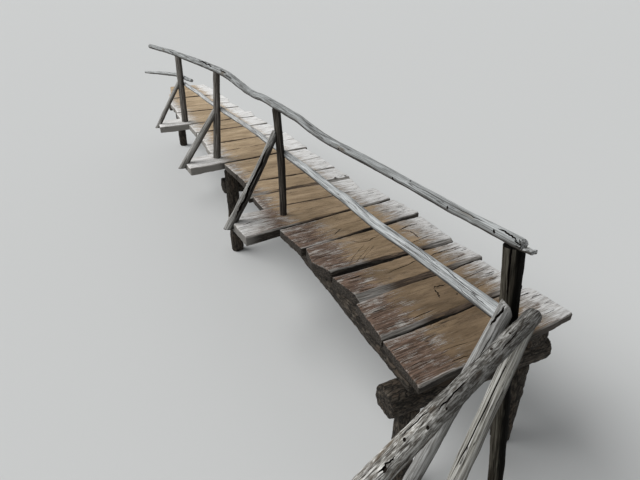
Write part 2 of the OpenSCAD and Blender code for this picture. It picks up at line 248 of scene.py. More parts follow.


# Split pine, trodden smooth and tan along the middle, worn to brown fibres with
# pale threads beside the handrail, and bleached silver grey at the open ends.
# Painted light makes the plank lighter towards the far end of the deck, under
# the open sky, and painted shade darkens its sides near black, for the gaps
# between planks.
# Fibres 9 mm and threads 4 mm wide are coarser than real ones, so that they show.
def make_plank_wood():
    wood, tree = new_wood("split_pine_trodden")
    grain = add(tree, "Attribute grain").outputs["Vector"]
    place = add(tree, "Attribute place").outputs["Vector"]
    leftward, rightward, edge = add(tree, "SeparateXYZ", place).outputs
    _, facing_far, facing_up = add(tree, "SeparateXYZ", add(tree, "NewGeometry").outputs["Normal"]).outputs
    _, along, _ = add(tree, "SeparateXYZ", add(tree, "TexCoord").outputs["Object"]).outputs
    far = open_sky(tree)
    patches = fibres(tree, grain, 2.5, 9.0, detail=4)
    blotches = fibres(tree, grain, 6.0, 20.0, detail=5, roughness=0.65)
    streaks = fibres(tree, grain, 5.0, 110.0, detail=5, roughness=0.62)
    threads = fibres(tree, grain, 7.0, 260.0, detail=4, roughness=0.7)
    cracks = add(tree, TIMES, hairline(tree, fibres(tree, grain, 2.0, 24.0, detail=2), 0.010),
                 add(tree, RISE, fibres(tree, grain, 3.0, 8.0), 0.50, 0.60))
    lines = hairline(tree, fibres(tree, grain, 2.5, 80.0, detail=3), 0.024)
    lines = add(tree, TIMES, lines, add(tree, RISE, blotches, 0.42, 0.56))
    lines = add(tree, TIMES, lines, add(tree, TIMES_PLUS, far, -0.7, 1.0))
    scuffs = hairline(tree, fibres(tree, grain, 18.0, 74.0, detail=4, swirl=0.5), 0.022)
    scuffs = add(tree, TIMES, scuffs, add(tree, RISE, fibres(tree, grain, 7.0, 26.0, detail=3), 0.47, 0.56))
    blotch = add(tree, MINUS, blotches, 0.5)
    thread = add(tree, MINUS, threads, 0.5)

    # Trodden middle, in deep shade, in half light and under the open sky
    shaded, half_lit, sunned = [
        add(tree, TONES, patches, steps=[(0.32, dark), (0.5, middle), (0.68, light)])
        for dark, middle, light in (('#60503c', '#75624c', '#867259'), ('#816e55', '#958065', '#a79176'),
                                    ('#8d7a61', '#a18d72', '#b4a084'))]
    tan = add(tree, MIX, add(tree, RISE, along, -3.7, -2.3), shaded, half_lit)
    tan = add(tree, MIX, far, tan, sunned)
    tan = stain_and_shade(tree, tan, add(tree, RISE, streaks, 0.52, 0.66), 0.5, '#5a4835')
    tan = stain_and_shade(tree, tan, add(tree, RISE, threads, 0.54, 0.68), 0.35, '#a18e73')
    tan = stain_and_shade(tree, tan, lines, 0.6, '#46382a')
    tan = stain_and_shade(tree, tan, scuffs, 0.5, '#4b3b2b')

    # Worn strip beside the handrail
    brown = add(tree, TONES, streaks, steps=[(0.36, '#3c2f27'), (0.5, '#5a483c'), (0.64, '#7c675a')])
    pale = add(tree, TONES, streaks, steps=[(0.36, '#8d877f'), (0.6, '#b3afa9')])
    flecks = add(tree, TIMES_PLUS, far, 0.12, add(tree, TIMES_PLUS, blotch, 0.9, threads))
    worn = add(tree, MIX, add(tree, RISE, flecks, 0.56, 0.66), brown, pale)

    # Bleached ends, whitest at their tips
    bleached = add(tree, TONES, streaks, steps=[(0.36, '#6e675f'), (0.47, '#9c968f'), (0.6, '#c2bfbb')])
    browned = add(tree, TIMES, add(tree, RISE, flecks, 0.50, 0.40), add(tree, TIMES_PLUS, far, -0.4, 0.6))
    bleached = add(tree, MIX, browned, bleached, brown)
    drift = add(tree, TIMES_PLUS, thread, 0.8, add(tree, TIMES, blotch, 0.5))
    outward = add(tree, TIMES_PLUS, far, 0.20, leftward)
    outward = add(tree, TIMES_PLUS, add(tree, RISE, along, -2.2, -1.9), 0.20, outward)
    whitened = add(tree, TONES, streaks, steps=[(0.34, '#a39f9a'), (0.46, '#c6c4c1'), (0.6, '#dcdcdb')])
    right_tip = add(tree, TIMES_PLUS, drift, 0.5, add(tree, TIMES_PLUS, far, 0.12, rightward))
    left_tip = add(tree, RISE, add(tree, TIMES_PLUS, drift, 0.6, outward), 0.40, 0.62)
    tips = add(tree, LARGER, add(tree, RISE, right_tip, 0.08, 0.20), add(tree, TIMES, left_tip, 0.8))
    bleached = add(tree, MIX, tips, bleached, whitened)
    bleached = stain_and_shade(tree, bleached, lines, 0.6, '#51463d')

    # Where tan, worn and bleached wood meet, along borders that drift
    left = add(tree, RISE, add(tree, PLUS, leftward, drift), -0.02, 0.10)
    outer = add(tree, RISE, add(tree, TIMES_PLUS, drift, 0.5, outward), 0.34, 0.46)
    right = add(tree, RISE, add(tree, TIMES_PLUS, drift, 0.8, rightward), -0.06, 0.08)
    rim = add(tree, RISE, add(tree, TIMES_PLUS, drift, -0.12, edge), 0.026, 0.010)
    worn = add(tree, MIX, add(tree, LARGER, outer, add(tree, TIMES, rim, 0.6)), worn, bleached)
    colour = add(tree, MIX, left, tan, worn)
    colour = add(tree, MIX, right, colour, bleached)

    # Hewn front edge; split sides in painted shade, near black, for the gaps between
    # planks, lighter towards the ends; and a darker underside
    slope = add(tree, TIMES, add(tree, RISE, facing_up, 0.95, 0.86), add(tree, RISE, facing_far, -0.2, -0.42))
    right_end = add(tree, RISE, rightward, -0.12, 0.08)
    ends = add(tree, LARGER, add(tree, RISE, leftward, -0.10, 0.06), right_end)
    hewn_middle = add(tree, TONES, streaks, steps=[(0.36, '#3e342b'), (0.62, '#6a5b4e')])
    hewn_end = add(tree, TONES, streaks, steps=[(0.36, '#66625c'), (0.64, '#a09c97')])
    colour = add(tree, MIX, slope, colour, add(tree, MIX, ends, hewn_middle, hewn_end))
    shaded_side_face = add(tree, TONES, streaks, steps=[(0.36, '#191512'), (0.5, '#2e2924'), (0.64, '#4e4840')])
    shaded_side_face = stain_and_shade(tree, shaded_side_face, right_end, 0.25, '#77706a')
    shaded_side_face = stain_and_shade(tree, shaded_side_face, add(tree, RISE, outward, 0.42, 0.56), 0.65, '#8f8c87')
    colour = add(tree, MIX, add(tree, RISE, facing_up, 0.55, 0.15), colour, shaded_side_face)
    colour = stain_and_shade(tree, colour, add(tree, RISE, facing_up, -0.3, -0.7), 0.6, '#3a3027')
    colour = stain_and_shade(tree, colour, cracks, 0.8, '#2a221b')
    # Painted light: the plank is brightened towards the far end of the deck, under the open sky
    colour = brighten(tree, colour, far, 0.42)

    height = add(tree, TIMES_PLUS, threads, 0.5, streaks)
    height = add(tree, TIMES_PLUS, cracks, -0.8, height)
    height = add(tree, TIMES_PLUS, lines, -0.4, height)
    surface(tree, colour, height)
    return wood


# Peeled pole silvered by weather: a pale skin of long fibres, opened by long
# dark drying cracks and brown in patches. Painted shade, with some moss in it,
# darkens it below; painted shade darkens its side towards the deck as much as
# dark_side asks; painted light brightens it towards the far end of the deck,
# where the sky is open.
# Fibres are 8 mm wide and fine lines 10 mm apart, coarser than real ones.
def make_pole_wood(name, tones, patch_colour, patch_low, dark_under, places=(0.32, 0.46, 0.60), dark_side=0.0,
                   side=(0.0, 0.55, '#26211c'), crack_share=0.5, line_share=0.55, streak=(4.0, 120.0, 0.0),
                   patch=(3.0, 14.0), gain=0.06, paler=None, shine=0.25):
    wood, tree = new_wood(name)
    grain = add(tree, "Attribute grain").outputs["Vector"]
    facing_deck, _, facing_up = add(tree, "SeparateXYZ", add(tree, "NewGeometry").outputs["Normal"]).outputs
    across, _, _ = add(tree, "SeparateXYZ", add(tree, "TexCoord").outputs["Object"]).outputs
    patches = fibres(tree, grain, *patch, detail=4)
    streaks = fibres(tree, grain, streak[0], streak[1], detail=5, roughness=0.62, swirl=streak[2])
    threads = fibres(tree, grain, 12.0, 400.0, detail=3)
    cracks = add(tree, TIMES, hairline(tree, fibres(tree, grain, 1.5, 46.0, detail=2), 0.020),
                 add(tree, RISE, fibres(tree, grain, 2.0, 16.0), crack_share - 0.05, crack_share + 0.05))
    fine = add(tree, TIMES, hairline(tree, fibres(tree, grain, 0.8, 100.0, detail=2), 0.040),
               add(tree, RISE, fibres(tree, grain, 3.0, 20.0), 0.40, 0.55))
    colour = add(tree, TONES, streaks, steps=list(zip(places, tones)))
    colour = add(tree, MIX, add(tree, RISE, patches, patch_low, patch_low + 0.14), colour, patch_colour)
    # Painted shade below the pole, with some moss in it
    colour = stain_and_shade(tree, colour, add(tree, RISE, facing_up, 0.30, -0.55), dark_under, '#332c25')
    colour = stain_and_shade(tree, colour, fine, line_share, '#453e37')
    colour = stain_and_shade(tree, colour, cracks, 0.9, '#241e19')
    # Painted shade on the side towards the deck, away from the light
    low, high, overlay_colour = side
    colour = stain_and_shade(tree, colour, add(tree, RISE, facing_deck, low, high), dark_side, overlay_colour)
    if paler:
        start, end, rise = paler
        colour = brighten(tree, colour, add(tree, RISE, across, start, end), rise)
    # Painted light: brighter towards the far end of the deck, where the sky is open
    colour = brighten(tree, colour, open_sky(tree), gain)
    height = add(tree, TIMES_PLUS, threads, 0.35, streaks)
    height = add(tree, MINUS, height, cracks)
    height = add(tree, TIMES_PLUS, fine, -0.5, height)
    surface(tree, colour, height, shine=shine)
    return wood


# Log with its bark on, dark: grey-brown plates 20 mm across between dark
# furrows along the log.
def make_bark_wood():
    wood, tree = new_wood("log_in_grey_bark")
    grain = add(tree, "Attribute grain").outputs["Vector"]
    patches = fibres(tree, grain, 5.0, 12.0, detail=4)
    plates = fibres(tree, grain, 16.0, 48.0, detail=5, roughness=0.65)
    furrows = hairline(tree, fibres(tree, grain, 9.0, 34.0, detail=3), 0.07)
    colour = add(tree, TONES, plates, steps=[(0.3, '#231f1b'), (0.5, '#3a342d'), (0.68, '#5c554c')])
    colour = add(tree, MIX, add(tree, RISE, patches, 0.52, 0.68), colour, '#4a4036')
    colour = add(tree, MIX, furrows, colour, '#1b1814')
    height = add(tree, TIMES_PLUS, furrows, -0.8, plates)
    surface(tree, colour, height, roughness=0.95, relief=0.9, depth=0.008)
    return wood


# Inside of a drying crack: near-black fibres as painted shade, for the shade that the light hardly reaches.
def make_split_shade():
    wood, tree = new_wood("painted_shade_inside_a_split")
    noise = add(tree, "TexNoise", Vector=add(tree, "TexCoord").outputs["Object"], Scale=60.0, Detail=2.0)
    surface(tree, add(tree, MIX, noise, '#14100c', '#2c231b'), roughness=0.95)
    return wood


PLANK_WOOD = make_plank_wood()
# Pale silver, with few dark patches
POLE_WOOD = make_pole_wood("peeled_pole_silvered", ('#6a6a67', '#9b9d9c', '#c6c9c9'), '#8d877d', 0.64, 0.95)
# Smooth mid grey that pales at its near end
TOP_RAIL_WOOD = make_pole_wood("peeled_top_rail_grey", ('#545451', '#838584', '#b2b5b5'), '#716a60', 0.60,
                               0.95, gain=0.05, paler=(0.040, 0.075, 0.40))
# Silver skin with strong fine lines
MID_RAIL_WOOD = make_pole_wood("peeled_mid_rail_silver", ('#727473', '#a5a8a8', '#cfd2d2'), '#98938a', 0.66,
                               0.95, crack_share=0.56, line_share=0.85)
# Palest of the rails, on the far part of the deck
FAR_RAIL_WOOD = make_pole_wood("peeled_far_rail_pale", ('#7c7c79', '#aeafae', '#d0d2d2'), '#9a9489', 0.62,
                               0.8)
# Grey, with brown patches, and painted shade, dark brown, on its side towards the deck
BRACE_WOOD = make_pole_wood("peeled_brace_grey", ('#4d4944', '#86847f', '#b4b3af'), '#5d564d', 0.58, 0.9,
                            dark_side=0.5, side=(-0.4, 0.5, '#2c2823'), gain=0.2)
# Pale warm grey, with painted shade, dark, on its side towards the deck
STRUT_WOOD = make_pole_wood("peeled_strut_pale_grey", ('#5e5b56', '#939189', '#bcbbb6'), '#756b5f', 0.62, 0.9,
                            dark_side=0.8, side=(-0.45, 0.5, '#3a3631'))
# Cool mid grey, with painted shade, half dark, on its side towards the deck
FIRST_BRACE_WOOD = make_pole_wood("peeled_brace_blue_grey", ('#585652', '#888784', '#b0b0ae'), '#6f6a62',
                                  0.58, 0.9, dark_side=0.55, side=(-0.35, 0.5, '#37332e'))
# Grey-brown, darker than the rails, with painted shade on its side towards the deck
POST_WOOD = make_pole_wood("peeled_post_grey_brown", ('#35322e', '#68645e', '#989490'), '#403930', 0.58, 0.8,
                           places=(0.34, 0.47, 0.60), dark_side=0.8, side=(-0.2, 0.5, '#26211c'), gain=0.2)
# Nearly black without gloss: wet wood soaked by the ground, darkened further as
# painted shade, and painted near black on all but its side facing away from the deck
DARK_POST_WOOD = make_pole_wood("damp_and_shaded_dark_post", ('#1b1a17', '#393730', '#646158'), '#24221d', 0.54, 0.8,
                                places=(0.34, 0.47, 0.60), dark_side=0.95, side=(-0.80, -0.42, '#080706'),
                                shine=0.03)
# Damp dark brown with little gloss, and painted shade, near black, on its side towards the deck
NEAR_POST_WOOD = make_pole_wood("damp_and_shaded_near_post", ('#211e1a', '#45413b', '#77716a'), '#2b2620', 0.54, 0.8,
                                places=(0.34, 0.47, 0.60), dark_side=0.85, side=(-0.42, 0.3, '#161411'),
                                shine=0.1)
# Weathered grey face, and a split side towards the deck made near black by painted shade
SPLIT_BRACE_WOOD = make_pole_wood("split_brace_weathered", ('#45423e', '#7e7c78', '#b4b3af'), '#5a534b',
                                  0.56, 0.9, dark_side=0.85, side=(-0.62, 0.1, '#201d1a'), gain=0.2)
# Bark half off: short swirled fibres, brown blotches, paler at its outer end, and
# painted shade on its side towards the deck
KNOTTY_WOOD = make_pole_wood("knotty_log_half_peeled", ('#37332e', '#72706b', '#a9a8a4'), '#4f473d', 0.56,
                             1.0, places=(0.36, 0.48, 0.60), dark_side=0.55, side=(-0.3, 0.5, '#25211d'),
                             crack_share=0.42, streak=(20.0, 130.0, 0.5), patch=(9.0, 30.0),
                             paler=(-0.48, -0.68, 1.1))
BARK_WOOD = make_bark_wood()
SPLIT_SHADE = make_split_shade()


# Shaping


def mark(piece, name, values):
    """Keeps a vector for each point of the piece, for its material to read."""
    layer = piece.data.attributes.new(name, 'FLOAT_VECTOR', 'POINT')
    layer.data.foreach_set("vector", [number for value in values for number in value])


def reach_x(mesh, edge):
    """How far an edge runs along x."""
    a, b = edge.vertices
    return abs(mesh.vertices[a].co.x - mesh.vertices[b].co.x)


def copy_of(node, name):
    """Separate piece with the shape of a CAD node, its doubles merged."""
    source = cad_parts[node]
    only(source)
    bpy.ops.object.duplicate()
    piece = bpy.context.object
    piece.name = name
    piece.parent = None
    for key in list(piece.keys()):
        del piece[key]
    piece.matrix_world = Matrix.Identity(4)
    piece.data.materials.clear()
    edit(piece, 'FACE', lambda face: True)
    bpy.ops.mesh.remove_doubles(threshold=0.00005)
    bpy.ops.mesh.dissolve_limited(angle_limit=math.radians(0.5))
    bpy.ops.mesh.normals_make_consistent(inside=False)
    done()
    return piece


def finish(piece, wood, node):
    """Gives the piece its wood and puts it in the place of the CAD node."""
    mesh = piece.data
    if not mesh.materials:
        mesh.materials.append(wood)
    else:
        mesh.materials[0] = wood
    only(piece)
    bpy.ops.object.shade_smooth_by_angle(angle=math.radians(50))
    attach(piece, "root")
    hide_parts(node)


BLADE_STEPS = 12
# How far a blade stands out of the surface, and how thin its lower edge is
BLADE_TOP = 0.006
BLADE_EDGE = 0.25


def blade(hits, width, depth, seed=1, wander=0.0015):
    """Thin wedge along places on a surface, widest and deepest in its middle."""
    bpy.ops.object.select_all(action='DESELECT')
    bpy.ops.mesh.primitive_cube_add(size=1)
    wedge = bpy.context.object
    wedge.name = "blade"
    edit(wedge, 'EDGE', lambda edge: reach_x(wedge.data, edge) > 0.5)
    bpy.ops.mesh.subdivide(number_cuts=BLADE_STEPS - 1)
    done()
    chance = random.Random(seed)
    sway = [chance.uniform(-1, 1) * wander for _ in range(BLADE_STEPS + 1)]
    spans = [max((b[0] - a[0]).length, 1e-6) for a, b in zip(hits, hits[1:])]
    rings = []
    for k in range(BLADE_STEPS + 1):
        run = sum(spans) * k / BLADE_STEPS
        n = 0
        while n < len(spans) - 1 and run > spans[n]:
            run -= spans[n]
            n += 1
        t = min(1, run / spans[n])
        place = hits[n][0].lerp(hits[n + 1][0], t)
        out = hits[n][1].lerp(hits[n + 1][1], t).normalized()
        sideways = (hits[n + 1][0] - hits[n][0]).normalized().cross(out).normalized()
        rings.append((place + sideways * sway[k], out, sideways))
    for v in wedge.data.vertices:
        k = round((v.co.x + 0.5) * BLADE_STEPS)
        place, out, sideways = rings[k]
        taper = max(0.1, min(1, 5 * min(k, BLADE_STEPS - k) / BLADE_STEPS))
        half = (1 if v.co.y > 0 else -1) * width * taper / 2
        if v.co.z > 0:
            v.co = place + (out * BLADE_TOP + sideways * half)
        else:
            v.co = place + (sideways * half * BLADE_EDGE - out * depth * taper)
    edit(wedge, 'FACE', lambda face: True)
    bpy.ops.mesh.normals_make_consistent(inside=False)
    done()
    # The wedge gives the faces it cuts the painted shade of a crack's inside
    wedge.data.materials.append(SPLIT_SHADE)
    return wedge


def refill(piece, uncut):
    """Gives the new points that a cut made the values of the uncut surface."""
    layers = [(piece.data.attributes[name], uncut.data.attributes[name]) for name in ("grain", "place")
              if name in piece.data.attributes]
    grain = layers[0][0]
    spots = uncut.data.vertices
    for v in piece.data.vertices:
        if grain.data[v.index].vector.length_squared > 0:
            continue
        _, place, _, index = uncut.closest_point_on_mesh(v.co)
        corners = list(uncut.data.polygons[index].vertices)
        shares = poly_3d_calc([spots[c].co for c in corners], place)
        for new, old in layers:
            value = Vector((0, 0, 0))
            for corner, share in zip(corners, shares):
                value += old.data[corner].vector * share
            new.data[v.index].vector = value


def split(piece, blades):
    """Cuts all the blades out of the piece."""
    if not blades:
        return
    bpy.context.view_layer.update()
    uncut = piece.copy()
    uncut.data = piece.data.copy()
    bpy.context.collection.objects.link(uncut)
    for wedge in blades:
        apply(piece, 'BOOLEAN', object=wedge, operation='DIFFERENCE', solver='MANIFOLD',
              material_mode='TRANSFER')
    if "grain" in piece.data.attributes:
        bpy.context.view_layer.update()
        refill(piece, uncut)
    discard(uncut, *blades)


def seen(piece, *line):
    """Places on the piece under a line of picture points."""
    bpy.context.view_layer.update()
    return [hit for hit in (touch(piece, px, py) for px, py in line) if hit]


def cracks(piece, *lines, wander=0.4):
    """Opens cracks, each given as width, depth and its line of picture points. A
    line that passes beside the piece opens none."""
    blades = []
    for k, (width, depth, *line) in enumerate(lines):
        hits = seen(piece, *line)
        if len(hits) > 1:
            blades.append(blade(hits, width, depth, seed=k + 1, wander=width * wander))
        else:
            print("missed", piece.name, line)
    split(piece, blades)


# How far the swelling round a knot reaches, in the knot's radii
SWELLING = 2.2


def knots(piece, *spots):
    """Knots, each given as picture point, radius, how far it stands out and how
    deep its dark pit is."""
    bpy.context.view_layer.update()
    pits = []
    for px, py, radius, rise, depth in spots:
        hit = touch(piece, px, py)
        if not hit:
            print("missed knot", piece.name, px, py)
            continue
        place, out = hit
        for v in piece.data.vertices:
            near = (v.co - place).length / (radius * SWELLING)
            if near < 1:
                v.co += out * rise * (1 - near * near) ** 2
        if depth > 0:
            bpy.ops.object.select_all(action='DESELECT')
            bpy.ops.mesh.primitive_ico_sphere_add(subdivisions=2, radius=1)
            pit = bpy.context.object
            across = out.orthogonal().normalized()
            turn = Matrix((across, out.cross(across), out)).transposed()
            chance = random.Random(int(px * 7 + py))
            for v in pit.data.vertices:
                size = Vector((radius, radius * 0.7, depth)) * chance.uniform(0.8, 1.2)
                v.co = place + out * rise + turn @ Vector(tuple(a * b for a, b in zip(v.co, size)))
            # The pit takes the painted shade of a crack's inside
            pit.data.materials.append(SPLIT_SHADE)
            pits.append(pit)
    split(piece, pits)


def bite(piece, centre, size, tilt, rough, wood):
    """Breaks a ragged block off the piece; tilt leans it about the x axis."""
    bpy.ops.object.select_all(action='DESELECT')
    bpy.ops.mesh.primitive_cube_add(size=1, location=centre, rotation=(tilt, 0, 0), scale=size)
    block = bpy.context.object
    bpy.ops.object.transform_apply(location=True, rotation=True, scale=True)
    edit(block, 'FACE', lambda face: True)
    bpy.ops.mesh.subdivide(number_cuts=24)
    done()
    weather(block, 0.008, rough, stretch=(1, 2.5, 1), hard=True)
    block.data.materials.append(wood)
    split(piece, [block])


# Deck

# Planks near the camera, which get the finest detail
NEAR_PLANKS = 10
# Length of plank over which its sides are measured
COLUMN = 0.05
# Length of a plank's end whose middle gives the plank's direction
END = 0.12


def trodden_strip(y):
    """Left and right border of the tan strip, from the distance along the deck."""
    return (-0.32, 0.37 - 0.04 * y) if y < 2.05 else (-0.53, 0.19 - 0.015 * y)


def split_plank(number, voxel, keep):
    """Split plank with a wavy trodden top, worn edges and ends checked by drying."""
    node = f"deck_plank_{number:02d}"
    piece = copy_of(node, f"split_plank_{number:02d}")
    chance = random.Random(number)
    apply(piece, 'REMESH', mode='VOXEL', voxel_size=voxel)
    apply(piece, 'SMOOTH', factor=0.5, iterations=3)
    low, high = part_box(node)
    verts = piece.data.vertices
    left = [v.co.y for v in verts if v.co.x < low[0] + END]
    right = [v.co.y for v in verts if v.co.x > high[0] - END]
    angle = math.atan2(sum(right) / len(right) - sum(left) / len(left), high[0] - low[0] - END)
    shift = (chance.uniform(-9, 9), chance.uniform(-9, 9), chance.uniform(-9, 9))
    weather(piece, 0.10, 0.014, stretch=(3.0, 1, 1), turn=angle, at=shift)
    weather(piece, 0.022, 0.006, stretch=(9.0, 1, 1), hard=True, turn=angle, at=shift)
    apply(piece, 'DECIMATE', ratio=keep)
    middle = Vector(((low[0] + high[0]) / 2, (low[1] + high[1]) / 2, high[2]))
    turn = Matrix.Rotation(-angle, 3, 'Z')
    offset = Vector(shift)
    flat = [turn @ (v.co - middle) for v in piece.data.vertices]
    bpy.context.view_layer.update()
    near_side, far_side = {}, {}
    for p in flat:
        column = round(p.x / COLUMN)
        near_side[column] = min(near_side.get(column, p.y), p.y)
        far_side[column] = max(far_side.get(column, p.y), p.y)
    border = trodden_strip(middle.y - DECK_START.y)
    mark(piece, "grain", [p + offset for p in flat])
    mark(piece, "place", [(border[0] - (v.co.x - DECK_START.x), v.co.x - DECK_START.x - border[1],
                           min(p.y - near_side[round(p.x / COLUMN)], far_side[round(p.x / COLUMN)] - p.y))
                          for v, p in zip(piece.data.vertices, flat)])
    finish(piece, PLANK_WOOD, node)
    back = turn.inverted()
    span = (min(p.x for p in flat), max(p.x for p in flat))
    checks = []
    for k in range(12 if number <= NEAR_PLANKS else 5):
        at_left = k % 2 == 0
        start = (span[0] + 0.004) if at_left else (span[1] - 0.004)
        length = chance.uniform(0.05, 0.22)
        sideways = chance.uniform(0.15, 0.85)
        hits = []
        for t in (0, 0.35, 0.7, 1):
            x = start + (length * t if at_left else -length * t)
            column = round(x / COLUMN)
            if column not in near_side:
                continue
            y = near_side[column] + (far_side[column] - near_side[column]) * sideways
            spot = back @ Vector((x, y + chance.uniform(-1, 1) * 0.003, 0)) + middle
            hit, place, normal, _ = piece.ray_cast(spot + Vector((0, 0, 0.3)), Vector((0, 0, -1)))
            if hit and normal.z > 0.6:
                hits.append((place, normal))
        if len(hits) > 2:
            width = chance.uniform(0.0025, 0.007)
            checks.append(blade(hits, width, chance.uniform(0.010, 0.025), seed=number * 20 + k))
    split(piece, checks)
    return piece


# Poles


def straight_pole(name, length, radius, sides, ring):
    """Round pole along x, ringed closely enough to bend and to carry its lumps."""
    bpy.ops.object.select_all(action='DESELECT')
    bpy.ops.mesh.primitive_cylinder_add(vertices=sides, radius=radius, depth=length, end_fill_type='NGON',
                                        location=(length / 2, 0, 0), rotation=(0, math.pi / 2, 0))
    pole = bpy.context.object
    pole.name = name
    bpy.ops.object.transform_apply(location=True, rotation=True, scale=True)
    edit(pole, 'FACE', lambda face: len(face.vertices) > 4)
    bpy.ops.mesh.inset(thickness=radius * 0.12)
    bpy.ops.mesh.inset(thickness=radius * 0.35)
    bpy.ops.mesh.inset(thickness=radius * 0.3)
    done()
    rings = max(2, round(length / ring))
    passes = [rings] if rings <= 100 else [math.ceil(rings / 50), 50]
    for cuts in passes:
        longest = max(reach_x(pole.data, edge) for edge in pole.data.edges)
        edit(pole, 'EDGE', lambda edge: reach_x(pole.data, edge) > longest * 0.9)
        bpy.ops.mesh.subdivide(number_cuts=cuts - 1)
        done()
    return pole


DRY_CRACKS = 6


def dry_cracks(log, length, radius, seed):
    """Long drying cracks all round a straight pole, cut before it is bent."""
    chance = random.Random(seed)
    blades = []
    for k in range(DRY_CRACKS):
        reach = min(length * 0.6, chance.uniform(0.15, 0.7))
        start = chance.uniform(0.02, length - reach - 0.02)
        turn = chance.uniform(0, 2 * math.pi)
        lean = chance.uniform(-0.5, 0.5)
        bpy.context.view_layer.update()
        hits = []
        for t in (0, 0.25, 0.5, 0.75, 1):
            angle = turn + lean * t
            out = Vector((0, math.cos(angle), math.sin(angle)))
            hit, place, normal, _ = log.ray_cast(Vector((start + reach * t, 0, 0)) + out * radius * 3, -out)
            if hit:
                hits.append((place, out))
        if len(hits) > 2:
            width = chance.uniform(0.0015, 0.0035)
            blades.append(blade(hits, width, radius * chance.uniform(0.2, 0.5), seed=seed + k))
    split(log, blades)


def trim(piece, place, facing):
    """Saws off what lies beyond a place, on the side that facing points to."""
    edit(piece, 'FACE', lambda face: True)
    bpy.ops.mesh.bisect(plane_co=place, plane_no=facing, use_fill=True, clear_outer=True)
    done()


def pole(name, node, route, wood, sides=40, ring=0.025, lumps=0.10, furrows=0.004, furrow_length=22, seed=1,
         upright=False, level_foot=None):
    """Peeled pole that follows a route of places and radii."""
    bpy.ops.object.select_all(action='DESELECT')
    bpy.ops.curve.primitive_bezier_curve_add()
    line = bpy.context.object
    line.data.splines.clear()
    spline = line.data.splines.new('BEZIER')
    spline.bezier_points.add(len(route) - 1)
    widest = max(r for _, r in route)
    for point, (place, r) in zip(spline.bezier_points, route):
        point.co = place
        point.radius = r / widest
        point.handle_left_type = point.handle_right_type = 'AUTO'
    line.data.dimensions = '3D'
    line.data.resolution_u = 12
    line.data.twist_mode = 'MINIMUM' if upright else 'Z_UP'
    line.matrix_world = Matrix.Identity(4)
    length = spline.calc_length()
    piece = straight_pole(name, length, widest, sides, ring)
    weather(piece, 0.05, widest * lumps * 2, stretch=(2.5, 1, 1), at=(seed * 3.7, seed, 0))
    weather(piece, 0.009, furrows, stretch=(furrow_length, 1, 1), at=(seed * 3.7, seed, 0))
    dry_cracks(piece, length, widest, seed * 31)
    offset = Vector((seed * 2.3, seed * 1.7, 0))
    mark(piece, "grain", [v.co + offset for v in piece.data.vertices])
    apply(piece, 'CURVE', object=line, deform_axis='POS_X')
    discard(line)
    if level_foot is not None:
        trim(piece, (0, 0, level_foot), (0, 0, -1))
    edit(piece, 'FACE', lambda face: True)
    bpy.ops.mesh.normals_make_consistent(inside=False)
    done()
    finish(piece, wood, node)
    return piece


def rail_route(rows, level, d):
    """Route of a lying pole. A row gives x and y on the deck, the rise over the
    level and the share of the thickness d."""
    return [(on_deck(x, y, level + rise), d * part / 2000) for x, y, rise, part in rows]


def upright_route(foot, head, d, below=0.0, above=0.0, bow=0.0, girth=(1, 1, 1, 1, 1)):
    """Route from foot to head, run on past either end to be sawn off, bowed
    sideways in its middle and made thicker or thinner by girth."""
    a, b = on_deck(*foot), on_deck(*head)
    heading = (b - a).normalized()
    a, b = a - heading * below, b + heading * above
    return [(a.lerp(b, k / 4) + Vector((bow * math.sin(math.pi * k / 4), 0, 0)),
             girth[k] * (d[0] + (d[1] - d[0]) * k / 4) / 2000) for k in range(5)]


TOP_RAIL = [
    (-477, -400, 2, 0.75), (-480, -310, 1, 1.02), (-486, -155, 0, 0.90), (-491, -20, -4, 0.86),
    (-497, 110, -6, 0.94), (-503, 270, -4, 0.92), (-511, 430, -1, 0.88), (-518, 620, 0, 0.93),
    (-530, 900, -1, 0.98), (-542, 1200, -3, 0.98), (-547, 1350, -5, 1.02), (-553, 1500, 2, 1.07),
    (-560, 1650, 15, 1.14), (-568, 1830, 38, 1.12), (-575, 2010, 43, 1.12), (-586, 2300, 52, 1.18),
    (-591, 2630, 51, 1.10), (-594, 2790, 42, 1.15), (-598, 2990, 42, 1.20), (-601, 3290, 58, 1.28),
    (-607, 3620, 83, 1.36), (-612, 3950, 86, 1.38), (-621, 4330, 78, 1.34), (-645, 4850, 68, 1.38),
    (-667, 5360, 52, 1.36), (-693, 5950, 32, 1.34), (-744, 6490, 29, 1.28), (-812, 7040, 14, 1.20),
    (-885, 7640, 0, 1.20)]
MID_RAIL_NEAR = [
    (-424, -300, -3, 1.12), (-427, -200, -3, 1.13), (-430, -130, -2, 1.12), (-435, 20, 2, 1.07),
    (-441, 180, 2, 0.99), (-450, 450, 3, 0.97), (-458, 680, -1, 1.00), (-462, 800, -3, 1.00),
    (-466, 930, 3, 0.98), (-471, 1060, 13, 0.99), (-475, 1200, 22, 0.98), (-481, 1360, 20, 0.91),
    (-487, 1520, 26, 0.90), (-495, 1760, 37, 0.93), (-505, 2040, 40, 0.90), (-514, 2290, 46, 0.82)]
MID_RAIL_FAR = [
    (-518, 2290, 46, 0.72), (-533, 2760, 43, 0.69), (-542, 2940, 53, 0.71), (-554, 3220, 53, 0.64),
    (-567, 3560, 48, 0.65), (-582, 3960, 41, 0.71), (-594, 4300, 40, 0.76), (-607, 4750, 28, 0.66),
    (-619, 5280, 33, 0.74), (-635, 5880, 21, 0.68), (-641, 6200, 16, 0.66)]
FAR_POLE = [
    (-612, 5740, 136, 0.60), (-630, 6000, 120, 0.72), (-643, 6200, 114, 0.78), (-690, 6480, 112, 0.80),
    (-742, 6840, 76, 0.80), (-823, 7410, 16, 0.76), (-891, 7950, -49, 0.70), (-935, 8550, -124, 0.55)]
